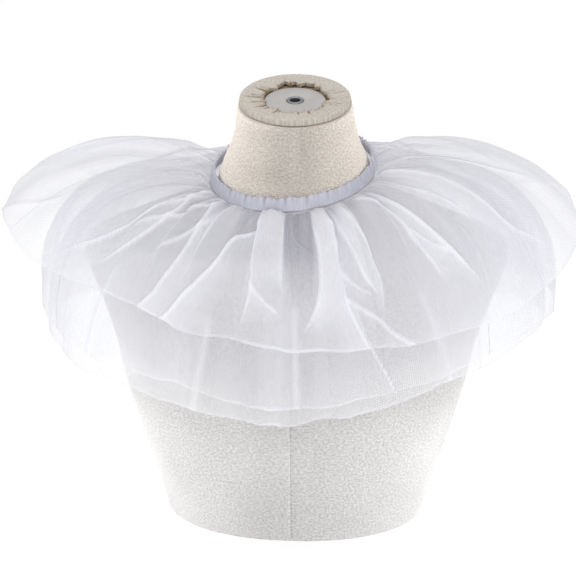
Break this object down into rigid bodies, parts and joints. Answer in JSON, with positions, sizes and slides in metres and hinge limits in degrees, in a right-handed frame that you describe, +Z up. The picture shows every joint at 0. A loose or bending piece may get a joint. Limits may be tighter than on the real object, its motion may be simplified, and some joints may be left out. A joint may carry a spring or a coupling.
{
  "type": "tulle ruff collar on limbless dress form",
  "caption": "Sheer white tulle ruff collar with gathered tiers on a puckered neckband, worn by a limbless dress form with a flat neck cap and a flat base.",
  "frame": {"origin": "middle of the dress form's flat base, on the surface it stands on", "axes": "+X towards the collar's left as worn, which is the viewer's right, +Y towards the back, +Z up; the front faces -Y"},
  "size_m": [0.5179, 0.32, 0.4033],
  "materials": {
    "form_cloth": "matte fine knit",
    "cap_cloth": "matte fine knit",
    "cap_plate": "matte",
    "ring_metal": "satin",
    "band_tulle": "fine net, folded double",
    "tulle": "sheer fine net"
  },
  "bodies": {
    "root": {"form_body": "form_cloth", "cap_cover": "cap_cloth", "cap_plate": "cap_plate", "cap_ring": "ring_metal", "neckband": "band_tulle", "ruffle_top_front": "tulle", "ruffle_top_back": "tulle", "ruffle_middle_front": "tulle", "ruffle_middle_back": "tulle", "ruffle_bottom_front": "tulle", "ruffle_bottom_back": "tulle"}
  },
  "joints": []
}
